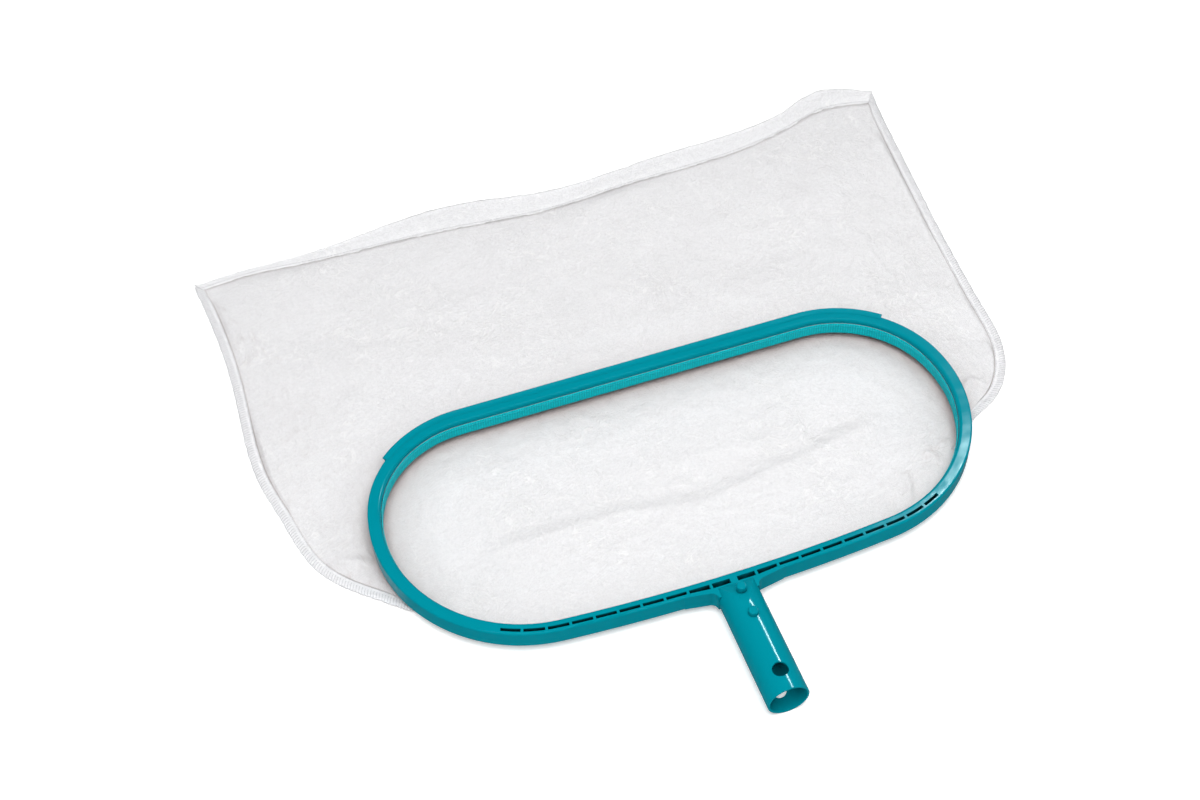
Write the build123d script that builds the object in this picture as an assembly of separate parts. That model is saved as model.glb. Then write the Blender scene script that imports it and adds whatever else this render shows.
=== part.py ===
from build123d import *
from math import asin, atan2, cos, degrees, radians, sin
import os

# Leaf skimmer net for a pool: a long rounded hoop on a short pole socket, with a fine
# mesh bag hung inside it and laid out flat behind it.
# Millimetres. The origin is the centre of the socket's mouth, +Y runs along the socket
# to the hoop, +X along the hoop and +Z out of the bag's mouth.

# ---- driving sizes ------------------------------------------------------------------

# pole socket
pole_d = 30.0               # pole that slides in
pole_gap = 0.2              # radial room around the pole
socket_wall = 1.8
pole_depth = 62.0           # how far the pole goes in
button_d = 12.7             # cross hole for the pole's spring button
button_y = 18.2
mouth_round = 0.5

# plug and pins at the inner end of the socket
plug_len = 18.0             # thick end, which stops the pole
stop_ledge = 2.2            # how far the plug's seat is smaller than the bore
spigot_step = 4.5           # how far the thin end is smaller than the thick one
spigot_wall = 5.3           # nose left past the thin end
pin_d = 8.0
pin_stand = 4.5             # pin heads above the socket's ridge
pin_round = 1.2
pin_floor = 1.5             # wall left under each pin
pin_inset = 6.0             # second pin from the end of the plug
fit_gap = 0.05              # radial room around plug and pins

# root of the socket
nose_len = 26.3             # from the socket to the hoop's outer wall
root_fillet = 6.0
root_pad = 2.6              # extra wall beside the root
root_pad_past = 4.0         # how far that wall runs past the wide pockets
blend_in = 2.0              # how far the root runs into the hoop

# hoop, as its inner edge
far_half = 156.5            # half of the straight far side
far_corner_r = 89.5
far_corner_turn = 75.7      # degrees
end_r = 118.0
near_bow_r = 1632.0
hoop_w = 10.7
hoop_h = 16.6
inner_round = 2.6
outer_round = 1.6
foot_round = 1.0

# pockets in the top of the near side
strip_in = 5.3              # solid strip along the inner edge
pocket_w = 2.7
pocket_floor = 2.6
pocket_pitch = 19.0
pocket_ribs = 9             # ribs each side of the centre post
rib_t = 2.2
post_t = 6.0
wide_pocket_w = 4.2         # the pockets next to the post; the next ones taper to it

# cored underside of the far side and the ends
core_in = 4.7               # wall left inside it
core_w = 3.6
core_roof = 5.2

# scoop lip
lip_turn = 43.0             # degrees of each far corner that it follows
lip_reach = 3.4             # past the hoop's outer wall
lip_t = 2.2
lip_in = 5.4                # from the inner edge to the rebate
lip_rim = 1.2               # flat beside the dish, along its inner edge
lip_flat = 0.5              # flat beside the dish, along its outer edge
lip_nose = 0.8              # depth of the rounded outer edge
lip_dish = 0.9
lip_leg = 6.5
lip_leg_t = 1.5
lip_draft = 0.7             # slope of the leg's ends

# net rim
bead_d = 2.6
groove_gap = 0.2
hem_drop = 5.0              # bare wall above the mesh
ply = 0.6                   # one ply of mesh in its hem or seam

# bag
bag_gap = 0.3               # between hoop and upper panel
panel_t = 0.6
droop_gap = 4.3             # from the far side to where the upper panel starts down
seam_w = 9.0
end_seam_w = 17.0
bag_behind = 255.0          # left far corner behind the hoop's far inner edge

over = 1.0                  # how far a cutter runs past the face that it cuts

# ---- derived sizes ------------------------------------------------------------------

bore_r = pole_d / 2 + pole_gap
socket_r = bore_r + socket_wall
floor_z = -socket_r
top = hoop_h / 2
socket_len = pole_depth + plug_len
plug_r = bore_r - stop_ledge
spigot_r = plug_r - spigot_step
spigot_end = socket_len + nose_len - spigot_wall
pins = ((pole_depth + plug_len / 2, plug_r), (spigot_end - pin_inset, spigot_r))
near_out_y = socket_len + nose_len
reach = near_out_y + hoop_w
wide_half = 2 * pocket_pitch

# centres of the hoop's arcs, first from the far corner's centre and then in place
radius_step = far_corner_r - end_r
end_x = far_half + radius_step * sin(radians(far_corner_turn))
near_turn = 180 - degrees(asin(end_x / (near_bow_r - end_r)))
end_up = radius_step * cos(radians(far_corner_turn))
bow_up = end_up + (end_r - near_bow_r) * cos(radians(near_turn))
corner_y = reach + near_bow_r - bow_up
corner_c = (far_half, corner_y)
end_c = (end_x, corner_y + end_up)
bow_c = (0.0, corner_y + bow_up)
far_y = corner_y + far_corner_r
half_width = end_x + end_r


def around(centre, radius, turn):
    """Point on an arc, with turn in degrees clockwise from +Y."""
    return (
        centre[0] + radius * sin(radians(turn)),
        centre[1] + radius * cos(radians(turn)),
    )


def arc(centre, radius, start, end):
    return ThreePointArc(
        around(centre, radius, start),
        around(centre, radius, (start + end) / 2),
        around(centre, radius, end),
    )


def hoop_face(out):
    """Area inside the hoop's inner edge moved outwards by out."""
    right = [
        Line((0, far_y + out), around(corner_c, far_corner_r + out, 0)),
        arc(corner_c, far_corner_r + out, 0, far_corner_turn),
        arc(end_c, end_r + out, far_corner_turn, near_turn),
        arc(bow_c, near_bow_r + out, near_turn, 180),
    ]
    left = [edge.mirror(Plane.YZ) for edge in right]
    return make_face(right + left)


def hoop_ring(out_a, out_b, z_low, z_high):
    """Upright band of the hoop between two offsets and two heights."""
    band = hoop_face(out_b) - hoop_face(out_a)
    return extrude(Pos(0, 0, z_low) * band, z_high - z_low)


def rim_edges(ring, out, z):
    """Edges of a ring that run round it at one offset from its inner edge, at height z."""
    inner = Pos(0, 0, z) * hoop_face(0)
    found = []
    for edge in ring.edges():
        flat = edge.bounding_box().size.Z < 1e-3 and abs(edge.center().Z - z) < 1e-3
        if flat and abs(inner.distance_to(edge @ 0.5) - out) < 0.1:
            found.append(edge)
    return found


def along_y(radius, y_start, y_end):
    """Round bar on the socket's axis."""
    return Pos(0, (y_start + y_end) / 2, 0) * Rot(90, 0, 0) * Cylinder(radius, y_end - y_start)


def near_station(length, out):
    """Place and heading on the near side, at a length from its centre at offset out."""
    radius = near_bow_r + out
    bow = radians(180 - near_turn) * radius
    side = 1 if length >= 0 else -1
    length = abs(length)
    if length <= bow:
        turn = 180 - degrees(length / radius)
        x, y = around(bow_c, radius, turn)
    else:
        turn = near_turn - degrees((length - bow) / (end_r + out))
        x, y = around(end_c, end_r + out, turn)
    return side * x, y, side * (180 - turn)


# ---- hoop ---------------------------------------------------------------------------


def wide_pockets(z_low, height):
    """Pockets beside the centre post, deeper than the rest and tapering to them."""
    taper_y = near_station(wide_half, strip_in + pocket_w)[1]
    deep_y = reach - strip_in - wide_pocket_w
    corners = [
        (-wide_half, taper_y),
        (-pocket_pitch, deep_y),
        (pocket_pitch, deep_y),
        (wide_half, taper_y),
        (wide_half, reach),
        (-wide_half, reach),
    ]
    block = extrude(Pos(0, 0, z_low) * make_face(Polyline(corners, close=True)), height)
    return block - hoop_ring(-hoop_w, strip_in, -height, height)


def pocket_cutters():
    """Pockets of the near side: a band, less its ribs and all past the last pockets."""
    middle = strip_in + pocket_w / 2
    z_low = -top + pocket_floor
    last = (pocket_ribs + 1) * pocket_pitch - rib_t
    tall = 3 * hoop_h
    band = hoop_ring(strip_in, strip_in + pocket_w, z_low, top + over)
    band += wide_pockets(z_low, tall)
    keep = Pos(0, far_y, 0) * Box(4 * far_y, far_y - reach, tall)
    keep += Pos(0, near_out_y, 0) * Box(post_t, 4 * hoop_w, tall)
    for side in (-1, 1):
        for i in range(1, pocket_ribs + 1):
            x, y, turn = near_station(side * i * pocket_pitch, middle)
            keep += Pos(x, y, 0) * Rot(0, 0, turn) * Box(rib_t, 3 * hoop_w, tall)
        x, y, turn = near_station(side * last, middle)
        rest = Pos(side * far_y, 0, 0) * Box(2 * far_y, 4 * far_y, tall)
        keep += Pos(x, y, 0) * Rot(0, 0, turn) * rest
    return band - keep


def core_cutter():
    """Slot moulded up into the underside, round the far side and both ends."""
    slot = hoop_ring(core_in, core_in + core_w, -top - over, top - core_roof)
    first_y = near_station((pocket_ribs + 2) * pocket_pitch, hoop_w / 2)[1]
    near_zone = Pos(0, first_y - far_y, 0) * Box(4 * far_y, 2 * far_y, 3 * hoop_h)
    return slot - near_zone


def nose():
    """Root of the socket: the tube's round end let down to the hoop, with side fillets."""
    drop = socket_r - top
    bend = (nose_len**2 + drop**2) / (2 * drop)
    half_turn = degrees(atan2(nose_len, bend - drop)) / 2
    mid = around((socket_len, socket_r - bend), bend, half_turn)
    wall_y = near_out_y + blend_in
    edges = [
        ThreePointArc((socket_len, socket_r), mid, (near_out_y, top)),
        Line((near_out_y, top), (wall_y, top)),
        Line((wall_y, top), (wall_y, -top)),
        Line((wall_y, -top), (near_out_y, -top)),
        ThreePointArc((near_out_y, -top), (mid[0], -mid[1]), (socket_len, -socket_r)),
        Line((socket_len, -socket_r), (socket_len, socket_r)),
    ]
    block = extrude(Plane.YZ * make_face(edges), 2 * socket_r, both=True)
    block &= along_y(socket_r, socket_len, wall_y)
    return block + root_fillets() + root_wall()


def root_fillets():
    """Both inner corners between the tube and the hoop's wall."""
    reach_out = socket_r + root_fillet
    pad_y = near_out_y - root_pad
    depth = root_fillet + blend_in
    pad = Pos(0, pad_y + blend_in - depth / 2, 0) * Box(2 * reach_out, depth, hoop_h)
    for side in (-1, 1):
        scoop = Cylinder(root_fillet, 2 * hoop_h)
        pad -= Pos(side * reach_out, pad_y - root_fillet, 0) * scoop
    return pad


def root_wall():
    """Extra wall outside the wide pockets, thinning out along the hoop."""
    reach_out = socket_r + root_fillet
    pad_y = near_out_y - root_pad
    tip_x, tip_y, _ = near_station(wide_half + root_pad_past, hoop_w)
    corners = [
        (-tip_x, tip_y),
        (-reach_out, pad_y),
        (reach_out, pad_y),
        (tip_x, tip_y),
        (tip_x, tip_y + blend_in / 2),
        (-tip_x, tip_y + blend_in / 2),
    ]
    return extrude(Pos(0, 0, -top) * make_face(Polyline(corners, close=True)), hoop_h)


def hoop_frame():
    ring = hoop_ring(0, hoop_w, -top, top)
    ring = fillet(rim_edges(ring, 0, top), inner_round)
    ring = fillet(rim_edges(ring, hoop_w, top), outer_round)
    ring = fillet(rim_edges(ring, hoop_w, -top), foot_round)
    ring += nose()
    ring -= pocket_cutters()
    ring -= core_cutter()
    ring -= bead_groove()
    ring -= far_sweep(rebate_profile(), lip_turn)
    ring -= along_y(spigot_r + fit_gap, socket_len - over, spigot_end + fit_gap)
    ring -= pin_hole(*pins[1])
    return ring


def pin_hole(y, core_r):
    """Blind hole for a pin, from above, through the core and a little past it."""
    bottom = -core_r - pin_floor
    height = 2 * socket_r - bottom
    return Pos(0, y, bottom + height / 2) * Cylinder(pin_d / 2 + fit_gap, height)


def bead_groove():
    high = top - hem_drop + groove_gap
    deep = bead_d + 2 * groove_gap
    return hoop_ring(-over, deep, high - deep, high)


# ---- scoop lip ----------------------------------------------------------------------


def far_sweep(profile, turn):
    """Carry a section, drawn on the hoop's far side, along the straight and round the corners."""
    straight = extrude(profile, far_half, both=True)
    upright = Axis((corner_c[0], corner_c[1], 0), (0, 0, -1))
    corner = revolve(Pos(far_half, 0, 0) * profile, upright, turn)
    return straight + corner + corner.mirror(Plane.YZ)


def rebate_profile():
    """Section of the step that the lip sits in."""
    width = hoop_w - lip_in + 2 * over
    height = lip_t + 2 * over
    return Plane.YZ * Pos(far_y + lip_in + width / 2, top - lip_t + height / 2) * Rectangle(width, height)


def scoop_lip():
    y_in = far_y + lip_in
    y_wall = far_y + hoop_w
    y_out = y_wall + lip_reach
    y_leg = y_wall + lip_leg_t
    low = top - lip_t
    leg_end = top - lip_leg
    dish_a = (y_in + lip_rim, top)
    dish_b = (y_out - lip_nose - lip_flat, top)
    dish_mid = ((dish_a[0] + dish_b[0]) / 2, top - lip_dish)
    nose_top = (y_out - lip_nose, top)
    nose_low = (y_out - lip_nose, low)
    edges = [
        Line((y_in, low), (y_in, top)),
        Line((y_in, top), dish_a),
        ThreePointArc(dish_a, dish_mid, dish_b),
        Line(dish_b, nose_top),
        ThreePointArc(nose_top, (y_out, (top + low) / 2), nose_low),
        Line(nose_low, (y_leg, low - lip_draft)),
        Line((y_leg, low - lip_draft), (y_leg, leg_end)),
        Line((y_leg, leg_end), (y_wall, leg_end - lip_draft)),
        Line((y_wall, leg_end - lip_draft), (y_wall, low)),
        Line((y_wall, low), (y_in, low)),
    ]
    return far_sweep(Plane.YZ * make_face(edges), lip_turn)


# ---- socket, plug and pins ----------------------------------------------------------


def pole_socket():
    tube = along_y(socket_r, 0, socket_len)
    tube -= along_y(bore_r, -over, pole_depth)
    tube -= along_y(plug_r + fit_gap, pole_depth - over, socket_len + over)
    mouth = tube.edges().filter_by(GeomType.CIRCLE).group_by(Axis.Y)[0]
    tube = fillet(mouth, mouth_round)
    tube -= Pos(0, button_y, 0) * Cylinder(button_d / 2, 3 * socket_r)
    tube -= pin_hole(*pins[0])
    return tube


def pole_stop_plug():
    plug = along_y(plug_r, pole_depth, socket_len)
    plug += along_y(spigot_r, socket_len, spigot_end)
    for y, core_r in pins:
        plug -= pin_hole(y, core_r)
    return plug


def stop_pins():
    high = socket_r + pin_stand
    made = []
    for y, core_r in pins:
        bottom = -core_r - pin_floor
        pin = Pos(0, y, (bottom + high) / 2) * Cylinder(pin_d / 2, high - bottom)
        pin = fillet(pin.edges().filter_by(GeomType.CIRCLE).group_by(Axis.Z)[-1], pin_round)
        made.append(pin)
    return Compound(children=made)


# ---- net ----------------------------------------------------------------------------


def rim_bead():
    high = top - hem_drop
    return hoop_ring(groove_gap, groove_gap + bead_d, high - bead_d, high)


def rim_hem():
    return hoop_ring(-ply, 0, -top - bag_gap, top - hem_drop)


def by_end(side, out, turn):
    """Point of the bag's outline beside one end of the hoop, out from its inner edge."""
    x, y = around(end_c, end_r + out, turn)
    return side * x, y


def behind(side, out, back):
    """Point of the bag's outline, out from the hoop's end and back from its far side."""
    return side * (half_width + out), far_y + back


# outline of the bag as it lies, seen from above; both sides start inside the mouth
left_corner = behind(-1, 90, bag_behind)
right_corner = behind(1, 109, bag_behind + 28)
left_side = [
    by_end(-1, -9, 133),
    by_end(-1, 8, 109),
    behind(-1, 41, -112),
    behind(-1, 74, -28),
    behind(-1, 81, 111),
    left_corner,
]
far_edge = [
    left_corner,
    behind(-1, 4, bag_behind + 5),
    (-61, far_y + bag_behind + 18),
    (34, far_y + bag_behind + 9),
    behind(1, -39, bag_behind + 22),
    behind(1, 65, bag_behind + 45),
    right_corner,
]
right_side = [
    right_corner,
    behind(1, 88, 103),
    behind(1, 80, -23),
    behind(1, 63, -94),
    by_end(1, 10, 97),
    by_end(1, -11, 120),
]


def bag_face():
    """Whole bag from above, wavy at its far edge."""
    edges = [Spline(left_side), Spline(far_edge), Spline(right_side)]
    edges.append(Line(right_side[-1], left_side[0]))
    return make_face(edges)


def past(points, shift, away):
    """Area past a moved edge of the bag, as a mask."""
    moved = [(x + shift[0], y + shift[1]) for x, y in points]
    start = (moved[0][0] + away[0], moved[0][1] + away[1])
    end = (moved[-1][0] + away[0], moved[-1][1] + away[1])
    return make_face([Spline(moved), Line(moved[-1], end), Line(end, start), Line(start, moved[0])])


def upper_slab(lower):
    """Slab between the bag's underside and the top of the upper panel, lowered by lower."""
    high = -top - bag_gap - lower
    low = floor_z + 2 * panel_t - lower
    under = floor_z - over
    start_y = far_y + hoop_w + droop_gap
    end_y = left_corner[1] - end_seam_w - 2 * seam_w
    long_y = 2 * far_y + bag_behind
    points = [(0, under), (0, high), (start_y, high), (end_y, low), (long_y, low), (long_y, under)]
    side_view = Plane.YZ * make_face(Polyline(points, close=True))
    return extrude(side_view, 2 * half_width, both=True)


def prism(face):
    return extrude(Pos(0, 0, floor_z) * face, socket_r)


bag = bag_face()
far_zone = past(far_edge, (0, -end_seam_w), (0, bag_behind))
left_zone = past(left_side, (seam_w, 0), (-half_width, 0))
right_zone = past(right_side, (-seam_w, 0), (half_width, 0))
bag_inner = bag - far_zone - left_zone - right_zone
mouth = hoop_face(-ply)


def net_upper_panel():
    return prism(bag_inner - mouth) & (upper_slab(0) - upper_slab(panel_t))


def net_lower_panel():
    return extrude(Pos(0, 0, floor_z) * (bag_inner + mouth), panel_t)


def net_front_wall():
    """Strip of mesh from the floor panel up to the rim, where no upper panel leaves the rim."""
    return hoop_ring(-ply, 0, floor_z, -top - bag_gap) - prism(bag)


def side_seam(zone):
    """Overlocked band along one side, with both panels closed between its plies."""
    return prism((bag & zone) - far_zone - mouth) & upper_slab(0)


def end_hem():
    return extrude(Pos(0, 0, floor_z) * (bag & far_zone), 2 * panel_t)


# ---- write --------------------------------------------------------------------------

parts = {
    "hoop_frame": hoop_frame(),
    "pole_socket": pole_socket(),
    "pole_stop_plug": pole_stop_plug(),
    "stop_pins": stop_pins(),
    "scoop_lip": scoop_lip(),
    "rim_bead": rim_bead(),
    "rim_hem": rim_hem(),
    "net_upper_panel": net_upper_panel(),
    "net_lower_panel": net_lower_panel(),
    "net_front_wall": net_front_wall(),
    "side_seam_left": side_seam(left_zone),
    "side_seam_right": side_seam(right_zone),
    "end_hem": end_hem(),
}

os.makedirs("parts", exist_ok=True)
for name, shape in parts.items():
    export_step(shape, f"parts/{name}.step")
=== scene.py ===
from math import cos, pi, radians, sin

import bmesh
import bpy
import numpy as np
from bpy.props import FloatProperty, FloatVectorProperty, PointerProperty
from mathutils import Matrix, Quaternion, Vector
from mathutils.geometry import convex_hull_2d


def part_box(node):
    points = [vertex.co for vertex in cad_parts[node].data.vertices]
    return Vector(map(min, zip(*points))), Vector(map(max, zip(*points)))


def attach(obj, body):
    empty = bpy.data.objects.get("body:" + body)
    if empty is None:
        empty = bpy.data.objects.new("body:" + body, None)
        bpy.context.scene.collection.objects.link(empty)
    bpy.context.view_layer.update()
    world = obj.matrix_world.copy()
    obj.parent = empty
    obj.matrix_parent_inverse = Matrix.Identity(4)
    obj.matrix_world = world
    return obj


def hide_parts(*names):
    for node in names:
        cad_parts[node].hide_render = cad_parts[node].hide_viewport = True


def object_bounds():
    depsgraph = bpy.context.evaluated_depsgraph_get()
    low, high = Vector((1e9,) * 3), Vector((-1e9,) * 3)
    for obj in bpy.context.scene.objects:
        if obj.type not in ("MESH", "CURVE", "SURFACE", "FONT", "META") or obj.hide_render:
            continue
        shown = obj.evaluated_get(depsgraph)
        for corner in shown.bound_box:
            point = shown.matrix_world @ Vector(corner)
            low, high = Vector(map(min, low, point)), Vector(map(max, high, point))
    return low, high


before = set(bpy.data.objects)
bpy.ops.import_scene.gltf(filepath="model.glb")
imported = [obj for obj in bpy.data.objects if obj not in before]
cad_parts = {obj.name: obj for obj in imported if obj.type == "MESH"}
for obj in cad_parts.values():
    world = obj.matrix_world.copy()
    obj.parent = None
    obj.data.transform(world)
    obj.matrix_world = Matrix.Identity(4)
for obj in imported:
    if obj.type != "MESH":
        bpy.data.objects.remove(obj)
cad_low, cad_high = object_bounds()

bl_info = {
    "name": "Leaf Skimmer Net",
    "version": (1, 0, 0),
    "blender": (4, 5, 0),
    "location": "View3D > Sidebar > Skimmer",
    "description": "Finishes a pool leaf skimmer: moulded hoop, sewn mesh bag, seams and stitching",
    "category": "Object",
}

MM = 0.001

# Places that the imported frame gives.
RIM_LOW, RIM_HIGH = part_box("rim_hem")
HOOP_LOW, HOOP_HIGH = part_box("hoop_frame")
FLOOR_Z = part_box("net_lower_panel")[0].z
HALF_WIDTH = RIM_HIGH.x
NEAR_Y = RIM_LOW.y
FAR_Y = RIM_HIGH.y


# ---- settings ----


class SkimmerPlastic(bpy.types.PropertyGroup):
    """Moulded hoop, socket, lip, plug and pins"""

    colour: FloatVectorProperty(
        name="Colour", description="Teal of the moulded plastic",
        subtype="COLOR", default=(0.0, 0.236, 0.3), min=0, max=1,
    )
    roughness: FloatProperty(
        name="Roughness", description="Middle roughness of the moulded skin",
        default=0.13, min=0.05, max=1,
    )
    shine_tint: FloatVectorProperty(
        name="Shine Tint", description="Tint of the skin's reflections",
        subtype="COLOR", default=(0.7, 0.97, 1.0), min=0, max=1,
    )
    waviness: FloatProperty(
        name="Waviness", description="Height of the soft sink marks in the skin",
        default=0.05 * MM, unit="LENGTH", min=0,
    )


class SkimmerNet(bpy.types.PropertyGroup):
    """Mesh cloth of the bag"""

    colour: FloatVectorProperty(
        name="Thread Colour", description="White of the mesh threads",
        subtype="COLOR", default=(0.92, 0.92, 0.936), min=0, max=1,
    )
    pitch: FloatProperty(
        name="Mesh Pitch", description="From one thread to the next",
        default=0.9 * MM, unit="LENGTH", min=0.1 * MM,
    )
    thread: FloatProperty(
        name="Thread Share", description="Share of the pitch that a thread covers",
        default=0.7, min=0.05, max=1,
    )
    cloth_t: FloatProperty(
        name="Cloth Thickness", description="Thickness of one ply",
        default=0.35 * MM, unit="LENGTH", min=0.05 * MM,
    )
    lining: FloatVectorProperty(
        name="Lining Colour", description="Sheer mesh where it lies against the plastic",
        subtype="COLOR", default=(0.001, 0.41, 0.48), min=0, max=1,
    )
    swell: FloatProperty(
        name="Swell", description="Height of the broad waves in the cloth",
        default=3 * MM, unit="LENGTH", min=0,
    )
    fold_rise: FloatProperty(
        name="Fold Rise", description="Height of the fold across the floor inside the mouth",
        default=3.6 * MM, unit="LENGTH", min=0,
    )
    crumple: FloatProperty(
        name="Crumple", description="Height of the small creases in the cloth",
        default=0.7 * MM, unit="LENGTH", min=0,
    )
    seam_w: FloatProperty(
        name="Seam Width", description="Width of the overlocked side seams",
        default=9 * MM, unit="LENGTH", min=2 * MM,
    )
    seam_t: FloatProperty(
        name="Seam Thickness", description="Thickness of the plies sewn together at a seam",
        default=0.85 * MM, unit="LENGTH", min=0.3 * MM,
    )


class SkimmerStitching(bpy.types.PropertyGroup):
    """Sewing threads"""

    colour: FloatVectorProperty(
        name="Thread Colour", description="White of the sewing thread",
        subtype="COLOR", default=(0.6, 0.6, 0.62), min=0, max=1,
    )
    thread_d: FloatProperty(
        name="Thread Diameter", description="Diameter of the sewing thread",
        default=0.42 * MM, unit="LENGTH", min=0.05 * MM,
    )
    stitch_pitch: FloatProperty(
        name="Stitch Pitch", description="From one stitch to the next",
        default=3 * MM, unit="LENGTH", min=1 * MM,
    )
    stitch_len: FloatProperty(
        name="Stitch Length", description="Length of thread that shows in a stitch",
        default=2.3 * MM, unit="LENGTH", min=0.5 * MM,
    )
    loop_pitch: FloatProperty(
        name="Overlock Pitch", description="From one overlock loop to the next",
        default=2.6 * MM, unit="LENGTH", min=1 * MM,
    )


class SkimmerStage(bpy.types.PropertyGroup):
    """Floor, lights and camera"""

    azimuth: FloatProperty(
        name="Azimuth", description="Where the camera stands round the net, 0 on the handle side",
        subtype="ANGLE", default=radians(-17.859),
    )
    elevation: FloatProperty(
        name="Elevation", description="Height of the camera above the horizon",
        subtype="ANGLE", default=radians(50.474),
    )
    roll: FloatProperty(
        name="Roll", description="Turn of the camera about its own axis",
        subtype="ANGLE", default=radians(-2.069),
    )
    distance: FloatProperty(
        name="Distance", description="From the camera to the point that it aims at",
        unit="LENGTH", default=1.5525,
    )
    aim: FloatVectorProperty(
        name="Aim", description="Point that the camera aims at, from the middle of the hoop's box",
        subtype="TRANSLATION", default=(-0.03334, 0.11706, -0.0083),
    )
    lens: FloatProperty(
        name="Lens", description="Focal length on a 36 mm wide sensor",
        unit="CAMERA", default=54.17,
    )
    glint: FloatProperty(
        name="Glint Light", description="Power of the small light that shows only in reflections",
        unit="POWER", default=70,
    )
    glint_size: FloatProperty(
        name="Glint Size", description="Width of the small light that shows only in reflections",
        unit="LENGTH", default=0.2,
    )
    overhead: FloatProperty(
        name="Overhead Light", description="Power of the wide light above the net",
        unit="POWER", default=86,
    )
    ambient: FloatProperty(
        name="Ambient Light", description="Strength of the even light from all round",
        default=0.25, min=0,
    )
    floor_glow: FloatProperty(
        name="Floor Glow", description="Light that the floor sends to the camera only",
        default=0.3, min=0,
    )
    floor_colour: FloatVectorProperty(
        name="Floor Colour", description="Pale floor that the net lies on",
        subtype="COLOR", default=(0.92, 0.92, 0.92), min=0, max=1,
    )


# ---- lines and heights ----

# Cells across the table of random directions, after which the waves repeat.
WAVE_CELLS = 64


def smooth_line(points, count):
    """Evenly spaced points on the cubic spline through the given points."""
    p = np.array(points, float)
    step = np.linalg.norm(np.diff(p, axis=0), axis=1)
    at = np.concatenate([[0], np.cumsum(step)])
    n = len(p)
    matrix, side = np.eye(n), np.zeros_like(p)
    for i in range(1, n - 1):
        matrix[i, i - 1] = step[i - 1]
        matrix[i, i] = 2 * (step[i - 1] + step[i])
        matrix[i, i + 1] = step[i]
        side[i] = 6 * ((p[i + 1] - p[i]) / step[i] - (p[i] - p[i - 1]) / step[i - 1])
    bend = np.linalg.solve(matrix, side)
    t = np.linspace(0, at[-1], 20 * n + 1)
    i = np.clip(np.searchsorted(at, t) - 1, 0, n - 2)
    h, a, b = step[i][:, None], (at[i + 1] - t)[:, None], (t - at[i])[:, None]
    line = (
        bend[i] * a**3 / (6 * h)
        + bend[i + 1] * b**3 / (6 * h)
        + (p[i] / h - bend[i] * h / 6) * a
        + (p[i + 1] / h - bend[i + 1] * h / 6) * b
    )
    return resample(line, count)


def resample(line, count):
    """The same line with count evenly spaced points."""
    at = length_along(line)
    t = np.linspace(0, at[-1], count)
    return np.stack([np.interp(t, at, line[:, k]) for k in range(line.shape[1])], axis=1)


def length_along(line):
    """Distance of every point of a line from its start."""
    step = np.linalg.norm(np.diff(line, axis=0), axis=1)
    return np.concatenate([[0], np.cumsum(step)])


def side_of(line):
    """Unit vectors square to a line in the floor's plane, to its left."""
    ahead = np.gradient(line[:, :2], axis=0)
    ahead /= np.linalg.norm(ahead, axis=1)[:, None]
    return np.stack([-ahead[:, 1], ahead[:, 0]], axis=1)


def distance_to(x, y, line):
    """Distance of every (x, y) from a polyline."""
    nearest = np.full(np.shape(x), np.inf)
    for (ax, ay), (bx, by) in zip(line[:-1], line[1:]):
        dx, dy = bx - ax, by - ay
        share = np.clip(((x - ax) * dx + (y - ay) * dy) / (dx * dx + dy * dy), 0, 1)
        nearest = np.minimum(nearest, np.hypot(x - ax - share * dx, y - ay - share * dy))
    return nearest


def fade(t):
    """Smooth step from 0 to 1."""
    t = np.clip(t, 0, 1)
    return t * t * (3 - 2 * t)


def waves(x, y, size, seed):
    """Smooth noise from about -1 to 1, with bumps of one size."""
    turn = np.random.default_rng(seed).random((WAVE_CELLS, WAVE_CELLS)) * 2 * pi
    u, v = x / size, y / size
    i, j = np.floor(u).astype(int), np.floor(v).astype(int)
    f, g = u - i, v - j
    total = 0
    for di in (0, 1):
        for dj in (0, 1):
            way = turn[(i + di) % WAVE_CELLS, (j + dj) % WAVE_CELLS]
            reach = (f - di) * np.cos(way) + (g - dj) * np.sin(way)
            total = total + reach * fade(1 - abs(f - di)) * fade(1 - abs(g - dj))
    return total * 1.5


def creases(x, y, size, seed):
    """Sharp little ridges that wander, from 0 to 1."""
    bend_x = x + 0.5 * size * waves(x, y, 1.7 * size, seed + 1)
    bend_y = y + 0.5 * size * waves(x, y, 1.7 * size, seed + 2)
    return (1 - np.clip(abs(waves(bend_x, bend_y, size, seed)) * 2.2, 0, 1)) ** 2


# ---- the bag's lines ----

# Points round the rim, rounds of smoothing on them, and points along a side seam.
RIM_STEPS, RIM_SMOOTHING, SEAM_STEPS = 640, 12, 240
# Points along and across the tape of a side seam, and the strip of the end hem.
TAPE_STEPS, TAPE_ROWS = 420, 11
STRIP_STEPS, STRIP_ROWS = 520, 16


def rim_line():
    """The hoop's inner edge as an even closed loop, clockwise from the middle of the near side."""
    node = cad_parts["rim_hem"]
    flat = [v.co.to_2d() for v in node.data.vertices]
    hull = np.array([flat[i] for i in convex_hull_2d(flat)])
    if np.cross(hull[1] - hull[0], hull[2] - hull[1]) > 0:
        hull = hull[::-1]
    first = np.argmin(abs(hull[:, 0]) + 10 * (hull[:, 1] > (NEAR_Y + FAR_Y) / 2))
    hull = np.roll(hull, -first, axis=0)
    loop = resample(np.vstack([hull, hull[:1]]), RIM_STEPS + 1)[:-1]
    for _ in range(RIM_SMOOTHING):
        loop = (np.roll(loop, 1, axis=0) + 2 * loop + np.roll(loop, -1, axis=0)) / 4
    return loop


def end_line(side, spots):
    """Points given in millimetres out from one end of the hoop and back from its far side."""
    return [(side * (HALF_WIDTH + out * MM), FAR_Y + back * MM) for out, back in spots]


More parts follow.
